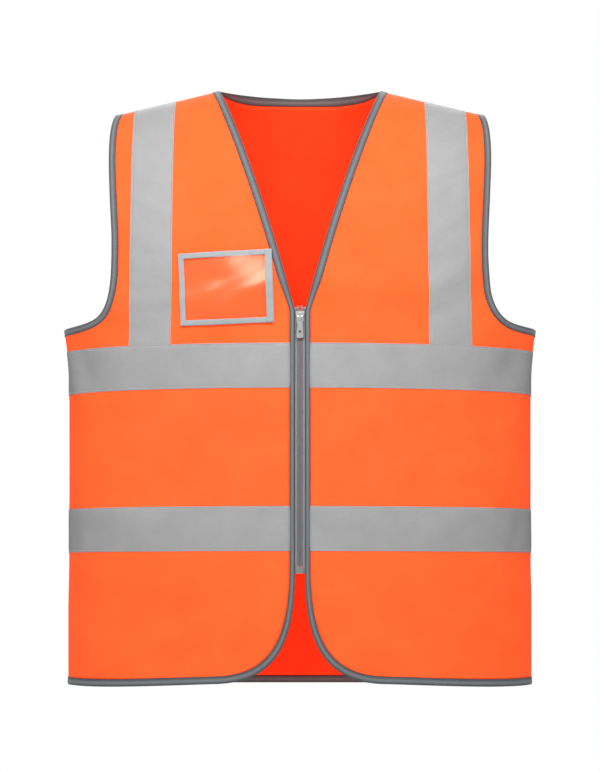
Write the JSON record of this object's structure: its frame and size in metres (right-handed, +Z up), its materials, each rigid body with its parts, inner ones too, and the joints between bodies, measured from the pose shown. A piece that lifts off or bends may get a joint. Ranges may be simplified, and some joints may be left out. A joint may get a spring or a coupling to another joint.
{
  "type": "high-visibility safety vest",
  "caption": "Sleeveless V-neck safety vest with two zipped fronts, bound edges, reflective bands and braces, and a clear card pocket on the chest.",
  "frame": {"origin": "midpoint between the neck ends of the two shoulder seams", "axes": "the wearer faces -Y, +X is the wearer's left, +Z is up; the vest hangs from the shoulder seams towards -Z"},
  "size_m": [0.545, 0.2361, 0.699],
  "materials": {
    "cloth": "fluorescent orange knitted polyester, matt with a soft sheen",
    "binding": "folded grey binding tape, lighter along its fold",
    "reflective_tape": "glass-bead reflective tape, flat silver grey",
    "pocket_trim": "light grey woven trim",
    "clear_window": "clear soft vinyl",
    "zip_cloth": "dark grey woven zip tape",
    "zip_teeth": "dark grey moulded teeth",
    "zip_metal": "bright nickel plate"
  },
  "bodies": {
    "back": {"back_panel": "cloth", "back_neck_binding": "binding", "back_hem_binding": "binding", "armhole_binding_back_left": "binding", "armhole_binding_back_right": "binding", "upper_band_back": "reflective_tape", "lower_band_back": "reflective_tape", "brace_back_left": "reflective_tape", "brace_back_right": "reflective_tape"},
    "front_left": {"front_panel_left": "cloth", "edge_binding_left": "binding", "armhole_binding_front_left": "binding", "upper_band_left": "reflective_tape", "lower_band_left": "reflective_tape", "brace_front_left": "reflective_tape", "zip_tape_left": "zip_cloth", "zip_teeth_left": "zip_teeth", "top_stop_left": "zip_metal", "insertion_pin": "zip_metal"},
    "front_right": {"front_panel_right": "cloth", "edge_binding_right": "binding", "armhole_binding_front_right": "binding", "upper_band_right": "reflective_tape", "lower_band_right": "reflective_tape", "brace_front_right": "reflective_tape", "pocket_window": "clear_window", "pocket_trim_top": "pocket_trim", "pocket_trim_bottom": "pocket_trim", "pocket_trim_side": "pocket_trim", "pocket_trim_mouth": "pocket_trim", "zip_tape_right": "zip_cloth", "zip_teeth_right": "zip_teeth", "top_stop_right": "zip_metal", "retainer_box": "zip_metal"},
    "slider": {"zip_slider": "zip_metal"},
    "tab": {"pull_tab": "zip_metal"}
  },
  "joints": [
    {"name": "front_left_open", "type": "hinge", "parent": "back", "child": "front_left", "pos_m": [0.2736, 0, -0.27], "axis": [0.0133, 0, 0.9999], "range_deg": [0, 35], "deforming": ["zip_tape_left", "zip_teeth_left", "insertion_pin"]},
    {"name": "front_right_open", "type": "hinge", "parent": "back", "child": "front_right", "pos_m": [-0.2736, 0, -0.27], "axis": [0.0133, 0, -0.9999], "range_deg": [0, 35], "deforming": ["zip_tape_right", "zip_teeth_right"]},
    {"name": "zip_slide", "type": "slide", "parent": "front_right", "child": "slider", "axis": [0, 0, -1], "range_m": [0, 0.265]},
    {"name": "pull_swing", "type": "hinge", "parent": "slider", "child": "tab", "pos_m": [0, -0.1208, -0.26336], "axis": [-1, 0, 0], "range_deg": [0, 165]}
  ]
}
